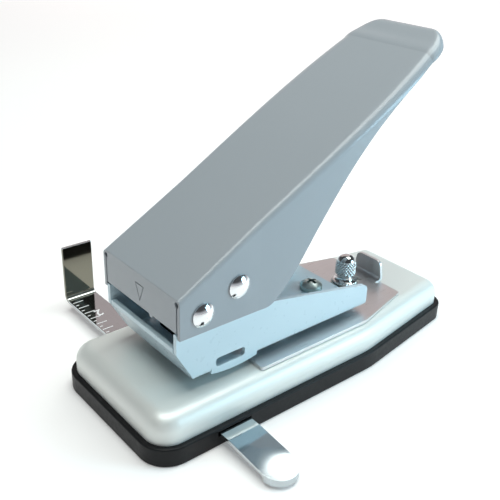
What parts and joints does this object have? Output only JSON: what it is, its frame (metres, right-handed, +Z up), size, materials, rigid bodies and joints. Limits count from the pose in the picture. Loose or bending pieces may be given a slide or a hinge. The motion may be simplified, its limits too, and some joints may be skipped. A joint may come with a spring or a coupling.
{
  "type": "id card slot punch",
  "caption": "Desk punch with a folded hand lever that drives a slot-shaped blade through a card, with a sliding side guide and a depth plate on an enamelled base.",
  "frame": {"origin": "centre of the tray's flat underside, on the surface the punch stands on", "axes": "+Z up, +Y towards the free end of the hand lever, +X towards the side guide's tongue"},
  "size_m": [0.1365, 0.1532, 0.1216],
  "materials": {
    "tray_black": "satin black moulded rubber",
    "cover_enamel": "gloss off-white stove enamel",
    "frame_paint": "gloss pale paint",
    "lever_paint": "satin grey paint",
    "pin_chrome": "polished chrome",
    "guide_chrome": "bright plated steel strip",
    "plate_brushed": "brushed plated steel",
    "knob_nickel": "nickel plate, knurled",
    "zinc_steel": "zinc plated",
    "tool_steel": "ground hardened steel",
    "spring_steel": "spring steel wire and leaf",
    "fastener_steel": "zinc plated fasteners"
  },
  "bodies": {
    "base": {"base_tray": "tray_black", "base_cover": "cover_enamel", "bed_plate": "zinc_steel", "die_plate": "tool_steel", "die_screws": "fastener_steel", "frame_spacers": "zinc_steel", "frame_screws": "fastener_steel", "punch_frame": "frame_paint", "punch_guide": "zinc_steel", "guide_screws": "fastener_steel", "pivot_pin": "pin_chrome", "pivot_spacer": "zinc_steel", "knob_washer": "fastener_steel", "clamp_nut": "zinc_steel", "guide_spring": "spring_steel", "leaf_screws": "fastener_steel", "return_spring": "spring_steel"},
    "hand_lever": {"lever": "lever_paint", "drive_pin": "pin_chrome", "drive_spacers": "zinc_steel"},
    "ram": {"punch_ram": "tool_steel", "punch_blade": "tool_steel", "blade_pin": "fastener_steel"},
    "side_guide_slider": {"side_guide": "guide_chrome"},
    "depth_slider": {"depth_plate": "plate_brushed"},
    "lock_screw": {"lock_knob": "knob_nickel"}
  },
  "joints": [
    {"name": "lever_press", "type": "hinge", "parent": "base", "child": "hand_lever", "pos_m": [0, -0.0527, 0.046], "axis": [-1, 0, 0], "range_deg": [0, 22], "stiffness_Nm_per_rad": 0.8, "springref_deg": -17.19},
    {"name": "ram_slide", "type": "slide", "parent": "base", "child": "ram", "axis": [0, 0, -1], "range_m": [0, 0.0058], "deforming": ["return_spring"]},
    {"name": "side_guide_slide", "type": "slide", "parent": "base", "child": "side_guide_slider", "axis": [1, 0, 0], "range_m": [-0.0035, 0.042]},
    {"name": "depth_plate_slide", "type": "slide", "parent": "base", "child": "depth_slider", "axis": [0, 1, 0], "range_m": [-0.006, 0.01]},
    {"name": "lock_knob_turn", "type": "hinge", "parent": "base", "child": "lock_screw", "pos_m": [0, 0.0372, 0.018], "axis": [0, 0, 1], "range_deg": [0, 180]}
  ],
  "couplings": [
    {"joint": "ram_slide", "follows": "lever_press", "m_per_rad": 0.01492}
  ]
}
